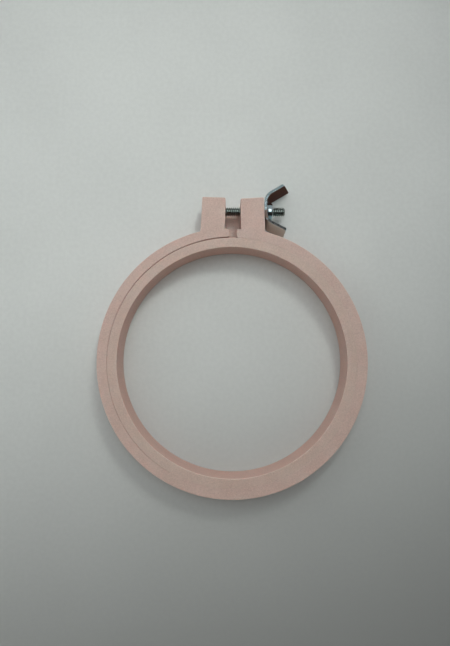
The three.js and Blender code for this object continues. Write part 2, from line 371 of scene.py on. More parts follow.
@dataclass(frozen=True)
class PlatedSteel(Finish):
    """Plated steel: uneven plate, fine scratches, dull patches, worn edges, painted shade in the thread's
    roots, and films where it is marked, which at the nut's seat are a painted shadow.
    """

    name: str
    bright: Colour
    dull: Colour
    roughness: float
    ripple_depth: float = 0.012
    # Brown film colour; the same colour paints a shadow where the nut's seat meets the lug.
    film: Colour = (0.118, 0.044, 0.028)
    haze: Colour = (0.66, 0.70, 0.64)
    film_roughness: float = 0.55
    film_specular: float = 0.1
    worn: Colour = (0.80, 0.83, 0.84)
    # Painted shade: the dark colour laid into the thread's roots and on the lower wing's edge.
    root: Colour = (0.09, 0.085, 0.08)
    scratch_share: float = 0.4
    rim_share: float = 0.5
    painted_shade_share: float = 0.8
    unevenness: float = 0.1
    patch: float = 1.8
    patches: Span = (0.38, 0.66)
    ripple: float = 1.6
    scratch_length: float = 5.0
    scratch_width: float = 0.09
    scratches: Span = (0.62, 0.70)
    scratched: Span = (0.45, 0.65)

    def material(self) -> bpy.types.Material:
        """Builds the material.

        Returns:
            The finished material.
        """
        material, bench, place = self.start(self.name)
        patches = bench.ramp(bench.noise(place, self.patch, 4.0), *self.patches)
        scratches = self.scratch_mask(bench, place)
        rim, groove, film, haze = (bench.mark(name) for name in ("rim", "groove", "film", "haze"))
        colour = bench.blend(patches, self.dull, self.bright)
        for mask, share, tint in (
            (scratches, self.scratch_share, self.worn),
            (rim, self.rim_share, self.worn),
            # Painted shade in the thread's roots and on the lower wing's edge.
            (groove, self.painted_shade_share, self.root),
        ):
            colour = bench.blend(mask * share, colour, tint)
        uneven = self.unevenness * (1.0 - patches)
        roughness = self.roughness + uneven + 0.08 * scratches - 0.04 * rim + 0.15 * groove
        height = bench.noise(place, self.ripple, 2.0) * 0.8 + scratches * 0.06
        steel = {"Base Color": colour, "Roughness": roughness, "Metallic": 1.0}
        # The film's brown is also the painted shadow at the nut's seat; the haze is a pale dull coat.
        mottle = bench.blend(patches, toned(self.film, 0.8), self.film)
        dirt_and_shadow = {"Base Color": bench.blend(haze, mottle, self.haze),
                "Roughness": self.film_roughness + 0.1 * patches, "Specular IOR Level": self.film_specular}
        self.close(bench, height, self.ripple_depth, steel, dirt_and_shadow, film + haze)
        return material

    def scratch_mask(self, bench: Bench, place: Wire) -> Wire:
        """Draws fine scratches that run across the axis, more in some places than in others.

        Args:
            bench: The material's bench.
            place: The object coordinate.

        Returns:
            1 in the scratches and 0 elsewhere.
        """
        squeeze = (self.scratch_length / self.scratch_width, 1.0, 1.0)
        drawn_out = bench.add("ShaderNodeMapping", {"Vector": place, "Scale": squeeze})
        lines = bench.ramp(bench.noise(drawn_out, self.scratch_length, 3.0), *self.scratches)
        return lines * bench.ramp(bench.noise(place, 3.0, 2.0), *self.scratched)


@dataclass(frozen=True)
class TableTop(Finish):
    """Plain pale grey table, hardly marked, that falls into shade toward the near side."""

    name: str = "table_top"
    tint: Colour = (0.638, 0.657, 0.637)
    darker: float = 0.92
    # Painted shade: how dark the table's colour gets at the near side.
    near_shade: float = 0.38
    far_end: float = 60.0
    near_end: float = -230.0
    turn: float = 0.3
    cloud: float = 60.0
    mottle: float = 2.2
    grain: float = 0.5
    grain_depth: float = 0.004
    marks: Span = (0.3, 0.7)

    def material(self) -> bpy.types.Material:
        """Builds the material.

        Returns:
            The finished material.
        """
        material, bench, place = self.start(self.name)
        cloud = bench.noise(place, self.cloud, 2.0)
        mottle = bench.noise(place, self.mottle, 3.0)
        marks = 0.5 * bench.ramp(cloud, *self.marks) + 0.5 * bench.ramp(mottle, *self.marks)
        colour = bench.blend(marks, toned(self.tint, self.darker), self.tint)
        along = bench.part(place, "Y") - self.turn * bench.part(place, "X")
        # Painted shade: the table's colour darkens toward the near right.
        near = bench.ramp(along, self.far_end * MM, self.near_end * MM)
        colour = bench.blend(near, colour, toned(self.tint, self.near_shade))
        sockets = {"Base Color": colour, "Roughness": 0.55 + 0.05 * cloud}
        self.close(bench, bench.noise(place, self.grain, 2.0), self.grain_depth, sockets)
        return material


# Shared shapes


@dataclass(frozen=True)
class Corner:
    """A corner of a plan, with the radius that rounds it."""

    x: float
    y: float
    radius: float = 0.0


def round_off(corners: Sequence[Corner], steps: int, guard: float = 0.12) -> list[list[Vector]]:
    """Rounds the corners of a closed plan.

    Each arc gets a guard point just outside either end, so that the flats beside it shade flat.

    Args:
        corners: The plan's corners in order.
        steps: Facets of each arc.
        guard: How far outside an arc its guard points lie.

    Returns:
        The points of each corner, in order.
    """
    groups: list[list[Vector]] = []
    for number, corner in enumerate(corners):
        here = Vector((corner.x, corner.y))
        if corner.radius == 0:
            groups.append([here])
            continue
        before, after = corners[number - 1], corners[(number + 1) % len(corners)]
        back = (Vector((before.x, before.y)) - here).normalized()
        onward = (Vector((after.x, after.y)) - here).normalized()
        half = math.acos(max(-1.0, min(1.0, back.dot(onward)))) / 2
        reach = corner.radius / math.tan(half)
        middle = here + (back + onward).normalized() * (corner.radius / math.sin(half))
        turn = math.copysign(math.pi - 2 * half, back.cross(onward))
        start = here + back * reach
        arc = [middle + Matrix.Rotation(-turn * k / steps, 2) @ (start - middle) for k in range(steps + 1)]
        groups.append([start + back * guard, *arc, arc[-1] + onward * guard])
    return groups


def rounded(corners: Sequence[Corner], steps: int) -> list[Vector]:
    """All points of a closed plan with its corners rounded."""
    return [point for group in round_off(corners, steps) for point in group]


def grown(outline: Sequence[Vector], amount: float) -> list[Vector]:
    """Moves a closed outline outwards by an even amount.

    Args:
        outline: Its points, counter-clockwise.
        amount: How far each side moves out. Less than nothing moves it in.

    Returns:
        The moved points.
    """
    moved = []
    for number, here in enumerate(outline):
        back = (here - outline[number - 1]).normalized()
        onward = (outline[(number + 1) % len(outline)] - here).normalized()
        sides = [Vector((along.y, -along.x)) for along in (back, onward)]
        moved.append(here + (sides[0] + sides[1]) * (amount / (1 + sides[0].dot(sides[1]))))
    return moved


def skin(shape: bmesh.types.BMesh, rings: Sequence[Ring]) -> None:
    """Lays faces from each ring of points to the next.

    Args:
        shape: The shape that the points belong to.
        rings: Rings of equal length. The first and last may be a single point instead.
    """
    for near, far in zip(rings, rings[1:]):
        steps = max(len(near), len(far))
        for k in range(steps):
            nxt = (k + 1) % steps
            corners = [near[k % len(near)], near[nxt % len(near)], far[nxt % len(far)], far[k % len(far)]]
            shape.faces.new(list(dict.fromkeys(corners)))


def add_object(name: str, data: bpy.types.ID) -> bpy.types.Object:
    """Puts a new object into the scene, at the origin.

    Args:
        name: Its name.
        data: Its mesh, curve, lamp or camera.

    Returns:
        The object.
    """
    thing = bpy.data.objects.new(name, data)
    bpy.context.scene.collection.objects.link(thing)
    return thing


def as_object(name: str, shape: bmesh.types.BMesh) -> bpy.types.Object:
    """Turns a bmesh into an object.

    Args:
        name: The object's name.
        shape: The shape. It is freed.

    Returns:
        The object.
    """
    mesh = bpy.data.meshes.new(name)
    shape.to_mesh(mesh)
    shape.free()
    return add_object(name, mesh)


def face_outwards(shape: bmesh.types.BMesh) -> None:
    """Turns a closed shape's faces outwards."""
    if shape.calc_volume(signed=True) < 0:
        bmesh.ops.reverse_faces(shape, faces=shape.faces)


def new_piece(name: str, shape: bmesh.types.BMesh) -> bpy.types.Object:
    """Cleans a closed shape, turns its faces outwards and makes it an object.

    Args:
        name: The object's name.
        shape: The closed shape. It is freed.

    Returns:
        The object.
    """
    bmesh.ops.remove_doubles(shape, verts=shape.verts, dist=0.0005 * MM)
    bmesh.ops.dissolve_degenerate(shape, edges=shape.edges, dist=0.0002 * MM)
    face_outwards(shape)
    return as_object(name, shape)


def settle(piece: bpy.types.Object, smooth_under: float = 38.0) -> bpy.types.Object:
    """Applies a piece's modifiers and shades it smooth where its faces meet gently.

    Args:
        piece: The piece.
        smooth_under: Edges sharper than this many degrees stay crisp.

    Returns:
        The same piece.
    """
    bpy.context.view_layer.update()
    evaluated = piece.evaluated_get(bpy.context.evaluated_depsgraph_get())
    mesh = bpy.data.meshes.new_from_object(evaluated)
    piece.modifiers.clear()
    piece.data = mesh
    mesh.name = piece.name
    mesh.shade_smooth()
    mesh.set_sharp_from_angle(angle=math.radians(smooth_under))
    return piece


def join(piece: bpy.types.Object, tool: bpy.types.Object, how: Join) -> None:
    """Cuts, adds or keeps the common part of a piece and a tool, and throws the tool away.

    Args:
        piece: The piece that changes.
        tool: The other closed body.
        how: What is done.
    """
    modifier = piece.modifiers.new("join", "BOOLEAN")
    modifier.operation = how.value
    modifier.solver = "EXACT"
    modifier.object = tool
    settle(piece)
    bpy.data.objects.remove(tool)


def round_edges(piece: bpy.types.Object, width: float, facets: int, sharper_than: float) -> bpy.types.Object:
    """Rounds a piece's sharp edges.

    Args:
        piece: The piece.
        width: How far the rounding reaches from the edge.
        facets: Its facets.
        sharper_than: Edges that turn by fewer degrees stay as they are.

    Returns:
        The same piece.
    """
    modifier = piece.modifiers.new("edges", "BEVEL")
    modifier.width = width * MM
    modifier.segments = facets
    modifier.limit_method = "ANGLE"
    modifier.angle_limit = math.radians(sharper_than)
    return settle(piece)


def bar_along_x(outline: Sequence[Vector], stations: Sequence[Span], place: Vector) -> bpy.types.Object:
    """Makes a closed bar along X whose section grows and shrinks from station to station.

    Args:
        outline: The section, counter-clockwise, in Y and Z about the axis.
        stations: Pairs of X and of how far the section is grown there.
        place: A point on the axis, in metres, that Y and Z are taken from.

    Returns:
        The bar.
    """
    shape = bmesh.new()
    rings = []
    for x, growth in stations:
        section = grown(outline, growth)
        rings.append([shape.verts.new((x * MM, place.y + p.x * MM, place.z + p.y * MM)) for p in section])
    skin(shape, rings)
    shape.faces.new(rings[0][::-1])
    shape.faces.new(rings[-1])
    return new_piece("bar", shape)


def circle(radius: float, steps: int = 64) -> list[Vector]:
    """Points of a circle, counter-clockwise, with a flat side square to the first axis."""
    angles = [2 * math.pi * (k + 0.5) / steps for k in range(steps)]
    return [Vector((radius * math.cos(a), radius * math.sin(a))) for a in angles]


def hexagon(flats: float, rounding: float = 0.25) -> list[Vector]:
    """A hexagon by its size across flats, with flats square to the first axis and rounded corners."""
    corners = [Corner(p.x, p.y, rounding) for p in circle(flats / 2 / math.cos(math.pi / 6), 6)]
    return rounded(corners, 4)


def stretched(outline: Sequence[Vector], amount: float) -> list[Vector]:
    """Moves the half of an outline beyond its middle further out."""
    return [Vector((p.x + amount, p.y)) if p.x > 0 else p for p in outline]


def turned_along_x(profile: Sequence[Span], place: Vector, steps: int = 72) -> bpy.types.Object:
    """Turns a closed body about an axis along X.

    Args:
        profile: Pairs of radius and X. The first and last radius are nothing.
        place: A point on the axis, in metres, that Y and Z are taken from.
        steps: Facets round the axis.

    Returns:
        The turned body.
    """
    shape = bmesh.new()
    rings = []
    for radius, x in profile:
        angles = [2 * math.pi * k / steps for k in range(steps if radius > 0 else 1)]
        ring = [(place.y + radius * MM * math.cos(a), place.z + radius * MM * math.sin(a)) for a in angles]
        rings.append([shape.verts.new((x * MM, *p)) for p in ring])
    skin(shape, rings)
    return new_piece("turned", shape)


def arc(centre: Span, radius: float, start: float, end: float, steps: int) -> list[Span]:
    """Points of an arc between two angles in degrees, in radius and X, for a turned profile."""
    angles = [math.radians(start + (end - start) * k / steps) for k in range(steps + 1)]
    return [(centre[0] + radius * math.cos(a), centre[1] + radius * math.sin(a)) for a in angles]


def mark(piece: bpy.types.Object, name: str, values: Sequence[float], each: str = "FACE") -> None:
    """Keeps a value for each face or point of a piece, which its finish reads."""
    piece.data.attributes.new(name, "FLOAT", each).data.foreach_set("value", values)


def mark_rims(piece: bpy.types.Object, largest: float = 0.22, bend: float = 11.0) -> None:
    """Marks the small facets of rounded edges, which the steel's wear follows.

    Args:
        piece: The piece.
        largest: Facets above this many square millimetres aren't marked.
        bend: Degrees by which a marked facet turns from its neighbours on two sides.
    """
    shape = bmesh.new()
    shape.from_mesh(piece.data)
    marks = []
    for face in shape.faces:
        turns = [edge.calc_face_angle(0.0) > math.radians(bend) for edge in face.edges]
        marks.append(float(sum(turns) > 1 and face.calc_area() < largest * MM * MM))
    shape.free()
    mark(piece, "rim", marks)


def mark_joint(piece: bpy.types.Object, axis: Vector, radius: float, reach: Span) -> None:
    """Marks the upright faces where the hoops meet, where a dark red painted shade fills the seam.

    Args:
        piece: One of the hoops.
        axis: A point on their axis.
        radius: Where the faces lie, in millimetres from the axis.
        reach: How far inside and outside that radius a marked face may lie.
    """
    marks = []
    for face in piece.data.polygons:
        off = math.hypot(face.center.x - axis.x, face.center.y - axis.y) / MM - radius
        marks.append(float(abs(face.normal.z) < 0.5 and reach[0] < off < reach[1]))
    mark(piece, "hidden", marks)


def dress(piece: bpy.types.Object, finish: bpy.types.Material, slot: Slot) -> None:
    """Gives a piece its only material.

    Args:
        piece: The piece.
        finish: Its material.
        slot: Not used.
    """
    piece.data.materials.clear()
    piece.data.materials.append(finish)


@dataclass
class Recipe:
    """A geometry node tree with named inputs, and the piece that it makes."""

    name: str
    bench: Bench = field(init=False)
    values: dict[str, Any] = field(init=False, default_factory=dict)
    source: bpy.types.Node = field(init=False)

    def __post_init__(self) -> None:
        """Starts the tree with its group input and a geometry output."""
        tree = bpy.data.node_groups.new(self.name, "GeometryNodeTree")
        tree.interface.new_socket(name="Geometry", in_out="OUTPUT", socket_type="NodeSocketGeometry")
        self.bench = Bench(tree)
        self.source = self.bench.node("NodeGroupInput")

    def take(self, name: str, kind: str, value: Any) -> Wire:
        """Adds a named input.

        Args:
            name: The input's name.
            kind: Its socket type, such as Float, Int, Object or Material.
            value: What the modifier hands it.

        Returns:
            The input as a wire.
        """
        interface = self.bench.tree.interface
        socket = interface.new_socket(name=name, in_out="INPUT", socket_type="NodeSocket" + kind)
        self.values[socket.identifier] = value
        return self.bench.wire(self.source, name)

    def make(self, geometry: Wire, finish: bpy.types.Material) -> bpy.types.Object:
        """Closes the tree and makes a plain mesh piece from it.

        Args:
            geometry: The shape.
            finish: Its material.

        Returns:
            The piece.
        """
        colour = self.take("Finish", "Material", finish)
        real = self.bench.add("GeometryNodeRealizeInstances", {"Geometry": geometry})
        dressed = self.bench.add("GeometryNodeSetMaterial", {"Geometry": real, "Material": colour})
        self.bench.node("NodeGroupOutput", {"Geometry": dressed})
        carrier = add_object(self.name, bpy.data.meshes.new(self.name))
        modifier = carrier.modifiers.new(self.name, "NODES")
        modifier.node_group = self.bench.tree
        for identifier, value in self.values.items():
            modifier[identifier] = value
        settle(carrier)
        shape = bmesh.new()
        shape.from_mesh(carrier.data)
        face_outwards(shape)
        shape.to_mesh(carrier.data)
        shape.free()
        return carrier


# Sub-assemblies


@dataclass(frozen=True)
class Places:
    """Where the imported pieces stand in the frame: axes in metres, places along X in millimetres."""

    hoop_axis: Vector
    bolt_axis: Vector
    head_x: float
    tip_x: float
    seat_x: float

    @classmethod
    def from_frame(cls) -> "Places":
        """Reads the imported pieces' boxes.

        Returns:
            The places.
        """
        hoop_low, hoop_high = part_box("inner_hoop")
        bolt_low, bolt_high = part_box("clamp_bolt")
        nut_low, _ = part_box("wing_nut")
        hoop = (hoop_low + hoop_high) / 2
        bolt = (bolt_low + bolt_high) / 2
        return cls(
            hoop_axis=Vector((hoop.x, hoop.y, 0.0)),
            bolt_axis=Vector((0.0, bolt.y, bolt.z)),
            head_x=bolt_low.x / MM,
            tip_x=bolt_high.x / MM,
            seat_x=nut_low.x / MM,
        )


@dataclass
class InnerHoop:
    """The plain moulded ring that the cloth is laid over."""

    places: Places
    size: float = 127.0
    wall: float = 4.94
    height: float = 16.0
    edge: float = 0.25
    seam_edge: float = 0.05
    edge_steps: int = 4
    joint_reach: Span = (-0.1, 0.1)
    steps: int = 288
    tint: Colour = (0.555, 0.418, 0.358)
    shade: Colour = (0.515, 0.380, 0.322)

    def build(self) -> bpy.types.Object:
        """Sweeps the section round the hoop.

        Returns:
            The ring.
        """
        recipe = Recipe("inner_hoop_ring")
        bench = recipe.bench
        radius = recipe.take("Radius", "Float", (self.size - self.wall) / 2 * MM)
        steps = recipe.take("Steps", "Int", self.steps)
        section = self.section()
        drawn = recipe.take("Section", "Object", section)
        path = bench.add("GeometryNodeCurvePrimitiveCircle", {"Resolution": steps, "Radius": radius})
        outline = bench.add("GeometryNodeObjectInfo", {"Object": drawn}, "Geometry")
        swept = bench.add("GeometryNodeCurveToMesh", {"Curve": path, "Profile Curve": outline})
        middle = self.places.hoop_axis + Vector((0, 0, self.height / 2)) * MM
        placed = bench.add("GeometryNodeTransform", {"Geometry": swept, "Translation": middle})
        finish = MouldedPlastic("inner_hoop_plastic", self.tint, self.shade, self.height)
        ring = recipe.make(placed, finish.material())
        bpy.data.objects.remove(section)
        mark_joint(ring, self.places.hoop_axis, self.size / 2, self.joint_reach)
        dress(ring, ring.data.materials[0], Slot.INNER_PLASTIC)
        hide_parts("inner_hoop")
        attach(ring, Body.INNER.value)
        return ring

    def section(self) -> bpy.types.Object:
        """Draws the ring's section as a closed curve about its own middle.

        Returns:
            The curve, first axis along the hoop's radius.
        """
        wide, high = self.wall / 2, self.height / 2
        points = rounded([Corner(-wide, -high, self.edge), Corner(wide, -high, self.seam_edge),
                          Corner(wide, high, self.seam_edge), Corner(-wide, high, self.edge)],
                         self.edge_steps)
        curve = bpy.data.curves.new("inner_hoop_section", "CURVE")
        spline = curve.splines.new("POLY")
        spline.points.add(len(points) - 1)
        for slot, p in zip(spline.points, points):
            slot.co = (p.x * MM, p.y * MM, 0.0, 1.0)
        spline.use_cyclic_u = True
        return add_object("inner_hoop_section", curve)


@dataclass
class OuterHoop:
    """The moulded ring that is cut through between two lugs and springs open."""

    places: Places
    bore: float = 63.65
    tight_bore: float = 63.52
    tight_until: float = 190.0
    spring_off: float = 0.11
    spring_from: float = 240.0
    spring_at_cut: float = 0.38
    radius: float = 68.8
    height: float = 16.0
    edge: float = 0.25
    edge_guard: float = 0.1
    edge_steps: int = 4
    bore_edge_share: float = 0.15
    steps: int = 288
    corner_steps: int = 6
    outside_clear: float = 1.6
    bore_clear: float = 1.4
    slit: float = 4.04
    slit_corner: float = 0.8
    right_toe: float = 0.45
    left_toe: float = 0.75
    gap_floor: float = 68.0
    gap_root: float = 8.4
    gap_end: float = 7.76
    gap_corner: float = 0.3
    lug_root: float = 12.55
    lug_end: float = 12.2
    lug_reach: float = 16.25
    lug_corner: float = 0.7
    left_lug_skew: float = 0.35
    right_lug_skew: float = 0.78
    root_fillet: float = 1.2
    hole: float = 2.715
    pocket: float = 8.54
    swing: float = 0.53
    head_height: float = 3.05
    head_gap: float = 0.2
    mouth: float = 0.3
    mouth_overrun: float = 0.5
    pocket_overlap: float = 3.7
    bend_zone: float = 2.0
    joint_reach: Span = (-0.1, 0.6)
    tongue_thickness: float = 1.0
    tongue_root_x: float = 5.0
    tongue_from_bore: float = 2.55
    tongue_past_bolt: float = 1.4
    tongue_lap: float = 5.0
    tongue_corner: float = 0.8
    tongue_edge: float = 0.2
    tongue_clearance: float = 0.3
    # Painted light: a paler tone for the tongue's faces in place of the walls' painted shade.
    tongue_painted_shading: Colour = (1.07, 1.16, 1.17)
    tint: Colour = (0.571, 0.420, 0.366)
    shade: Colour = (0.525, 0.378, 0.325)

    def build(self) -> bpy.types.Object:
        """Moulds the hoop in one piece and drills it.

        Returns:
            The hoop.
        """
        hoop = self.moulding()
        recess = self.leaf(self.tongue_clearance, 0.0)
        for tool in (self.right_hole(), self.left_hole(), self.head_pocket(), recess):
            join(hoop, tool, Join.CUT)
        mark_joint(hoop, self.places.hoop_axis, self.tight_bore, self.joint_reach)
        look = MouldedPlastic("outer_hoop_plastic", self.tint, self.shade, self.height)
        dress(hoop, look.material(), Slot.OUTER_PLASTIC)
        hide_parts("outer_hoop_right", "outer_hoop_left")
        reach = Vector((self.bend_zone * MM, 0, 0))
        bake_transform(hoop)
        return hoop

    def build_tongue(self) -> bpy.types.Object:
        """Makes the thin leaf of the right lug that bridges the gap and slides under the left lug.

        Returns:
            The tongue.
        """
        tongue = round_edges(self.leaf(0.0, self.tongue_root_x), self.tongue_edge, 3, 50)
        tongue.name = tongue.data.name = "gap_tongue"
        look = MouldedPlastic("tongue_plastic", self.tint, self.shade, self.height, self.tongue_painted_shading)
        dress(tongue, look.material(), Slot.OUTER_PLASTIC)
        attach(tongue, Body.OUTER.value)
        return tongue

    def leaf(self, growth: float, root_x: float) -> bpy.types.Object:
        """Makes a flat leaf across the gap, with rounded corners at its free end.

        Args:
            growth: How far it is grown all round.
            root_x: X of its square end.

        Returns:
            The leaf.
        """
        near_y = self.bore + self.tongue_from_bore - growth
        far_y = self.bolt_y() + self.tongue_past_bolt + growth
        tip_x = -(self.gap_root / 2 + self.tongue_lap) - growth
        corner = self.tongue_corner + growth
        outline = rounded([Corner(root_x, near_y), Corner(root_x, far_y), Corner(tip_x, far_y, corner),
                           Corner(tip_x, near_y, corner)], self.corner_steps)
        shape = bmesh.new()
        low, high = (self.level(shape, outline, z) for z in (-growth, self.tongue_thickness + growth))
        skin(shape, (low, high))
        shape.faces.new(low)
        shape.faces.new(high)
        bmesh.ops.recalc_face_normals(shape, faces=shape.faces)
        return new_piece("leaf", shape)

    def level(self, shape: bmesh.types.BMesh, outline: Sequence[Vector], z: float) -> Ring:
        """Sets an outline's points about the hoop's axis at one height."""
        return [shape.verts.new(self.places.hoop_axis + Vector((p.x, p.y, z)) * MM) for p in outline]

    @property
    def lug_tip(self) -> float:
        """Y of the lugs' far corners from the hoop's axis."""
        return self.radius + self.lug_reach

    def bolt_y(self) -> float:
        """Y of the bolt's axis from the hoop's axis."""
        return (self.places.bolt_axis.y - self.places.hoop_axis.y) / MM

    def lug_face(self, y: float) -> float:
        """X of a lug's outer face at a distance from the hoop's axis."""
        root, tip = self.gap_root / 2 + self.lug_root, self.gap_end / 2 + self.lug_end
        return root + (tip - root) * (y - self.gap_floor) / (self.lug_tip - self.gap_floor)

    def gap_face(self) -> float:
        """X of the lugs' inner faces at the bolt."""
        share = (self.bolt_y() - self.gap_floor) / (self.lug_tip - self.gap_floor)
        return (self.gap_root + (self.gap_end - self.gap_root) * share) / 2

    def bore_radius(self, turn: float) -> float:
        """The bore's radius, tight on the inner hoop but for the left arm, which springs off it.

        Args:
            turn: Angle clockwise from the cut, in degrees.

        Returns:
            The radius there.
        """
        share = share_between(turn, self.tight_until, self.spring_from)
        sprung = share_between(turn, self.spring_from, 360.0)
        loose = self.spring_off * share * share * (3 - 2 * share)
        return self.tight_bore + loose + self.spring_at_cut * sprung * sprung

    def lug_corners(self, side: int, toe: float, skew: float) -> list[Corner]:
        """The corners of one lug, from the bore round its far end to the hoop's outside.

        Args:
            side: 1 for the right lug, -1 for the left.
            toe: Radius where the cut meets the gap's floor.
            skew: How much shorter the lug is at the gap.

        Returns:
            The corners.
        """
        slit_x = self.slit / 2
        bore = self.bore_radius(0.0 if side > 0 else 360.0)
        root_x, tip_x = self.gap_root / 2 + self.lug_root, self.gap_end / 2 + self.lug_end
        corners = [
            Corner(slit_x, math.sqrt(bore**2 - slit_x**2), self.slit_corner),
            Corner(slit_x, self.gap_floor, toe),
            Corner(self.gap_root / 2, self.gap_floor, self.gap_corner),
            Corner(self.gap_end / 2, self.lug_tip - skew, self.lug_corner),
            Corner(tip_x, self.lug_tip, self.lug_corner),
            Corner(root_x, math.sqrt(self.radius**2 - root_x**2), self.root_fillet),
        ]
        return [Corner(side * c.x, c.y, c.radius) for c in corners]

    @staticmethod
    def on_circle(angle: float, radius: float) -> Corner:
        """A plain point of the plan, by its angle clockwise from the cut and its radius."""
        return Corner(radius * math.sin(angle), radius * math.cos(angle))

    def plan(self) -> tuple[list[Vector], list[tuple[int, int]]]:
        """Draws the plan clockwise from the right lug, and pairs outside points with bore points.

        Returns:
            The outline, and the pairs of point numbers at the same angle.
        """
        step = 2 * math.pi / self.steps
        right = self.lug_corners(1, self.right_toe, self.right_lug_skew)
        left = self.lug_corners(-1, self.left_toe, self.left_lug_skew)[::-1]
        root_x = self.gap_root / 2 + self.lug_root
        first = math.ceil(math.asin(root_x / self.radius) / step + self.outside_clear)
        bore_first = math.ceil(math.asin(self.slit / 2 / self.bore) / step + self.bore_clear)
        outside = list(range(first, self.steps - first + 1))
        bore = list(range(self.steps - bore_first, bore_first - 1, -1))
        outside_arc = [self.on_circle(k * step, self.radius) for k in outside]
        bore_arc = [self.on_circle(k * step, self.bore_radius(math.degrees(k * step))) for k in bore]
        groups = round_off([*right, *outside_arc, *left, *bore_arc], self.corner_steps)
        starts = [0]
        for group in groups:
            starts.append(starts[-1] + len(group))
        outside_at = {k: starts[len(right) + n] for n, k in enumerate(outside)}
        bore_at = {k: starts[len(right) + len(outside) + len(left) + n] for n, k in enumerate(bore)}
        return [p for group in groups for p in group], [(outside_at[k], bore_at[k]) for k in outside]

    def moulding(self) -> bpy.types.Object:
        """Raises the plan to its height with rounded edges.

        Returns:
            The hoop without its holes.
        """
        outline, pairs = self.plan()
        angles = [math.pi / 2 * k / self.edge_steps for k in range(self.edge_steps + 1)]
        rise = [(self.edge * (1 - math.sin(a)), self.edge * (1 - math.cos(a))) for a in angles]
        low = [(self.edge + self.edge_guard, 0.0), *rise, (0.0, self.edge + self.edge_guard)]
        shape = bmesh.new()
        rings = []
        bore_from = pairs[-1][1]
        for inset, z in low + [(inset, self.height - z) for inset, z in low[::-1]]:
            points = grown(outline, inset)
            for k in range(bore_from, len(points)):
                points[k] = outline[k].lerp(points[k], self.bore_edge_share)
            rings.append(self.level(shape, points, z))
        skin(shape, rings)
        for ring in (rings[0], rings[-1]):
            self.close_face(shape, ring, pairs)
        bmesh.ops.recalc_face_normals(shape, faces=shape.faces)
        return new_piece("outer_hoop_moulding", shape)

    def close_face(self, shape: bmesh.types.BMesh, ring: Ring, pairs: list[tuple[int, int]]) -> None:
        """Fills a flat face: quads round the ring, and one face over each lug.

        Args:
            shape: The shape.
            ring: The face's rim.
            pairs: Numbers of the rim points at the same angle, outside and bore.
        """
        for (out_a, in_a), (out_b, in_b) in zip(pairs, pairs[1:]):
            shape.faces.new((ring[out_a], ring[out_b], ring[in_b], ring[in_a]))
        first_out, first_in = pairs[0]
        last_out, last_in = pairs[-1]
        shape.faces.new([*ring[: first_out + 1], *ring[first_in:]])
        shape.faces.new(ring[last_out: last_in + 1])

    def mouth_at(self, face: float, inwards: int) -> list[Span]:
        """Stations of a small rounded mouth, from outside a lug's face to where the hole is even.

        Args:
            face: X of the face.
            inwards: 1 where the hole runs on toward higher X, -1 toward lower X.

        Returns:
            Pairs of X and growth for a bar.
        """
        angles = [math.pi / 2 * k / 4 for k in range(5)]
        flare = [(self.mouth * (1 - math.cos(a)), self.mouth * (1 - math.sin(a))) for a in angles]
        outside = (-self.mouth_overrun, self.mouth + self.mouth_overrun)
        return [(face + inwards * x, growth) for x, growth in (outside, *flare)]

    def right_hole(self) -> bpy.types.Object:
        """The round hole through the right lug."""
        stations = self.mouth_at(self.gap_face(), 1) + self.mouth_at(self.lug_face(self.bolt_y()), -1)[::-1]
        return bar_along_x(circle(self.hole), stations, self.places.bolt_axis)

    def left_hole(self) -> bpy.types.Object:
        """The longer hole from the gap into the head's pocket.

        Returns:
            The body that cuts it.
        """
        far = (self.places.head_x + self.head_height - self.pocket_overlap, 0.0)
        stations = [far, *self.mouth_at(-self.gap_face(), -1)[::-1]]
        return bar_along_x(stretched(circle(self.hole), self.swing), stations, self.places.bolt_axis)

    def head_pocket(self) -> bpy.types.Object:
        """The six-sided pocket in the left lug's outer face.

        Returns:
            The body that cuts it.
        """
        floor = self.places.head_x + self.head_height + self.head_gap
        stations = [*self.mouth_at(-self.lug_face(self.bolt_y()), 1), (floor, 0.0)]
        return bar_along_x(stretched(hexagon(self.pocket), self.swing), stations, self.places.bolt_axis)


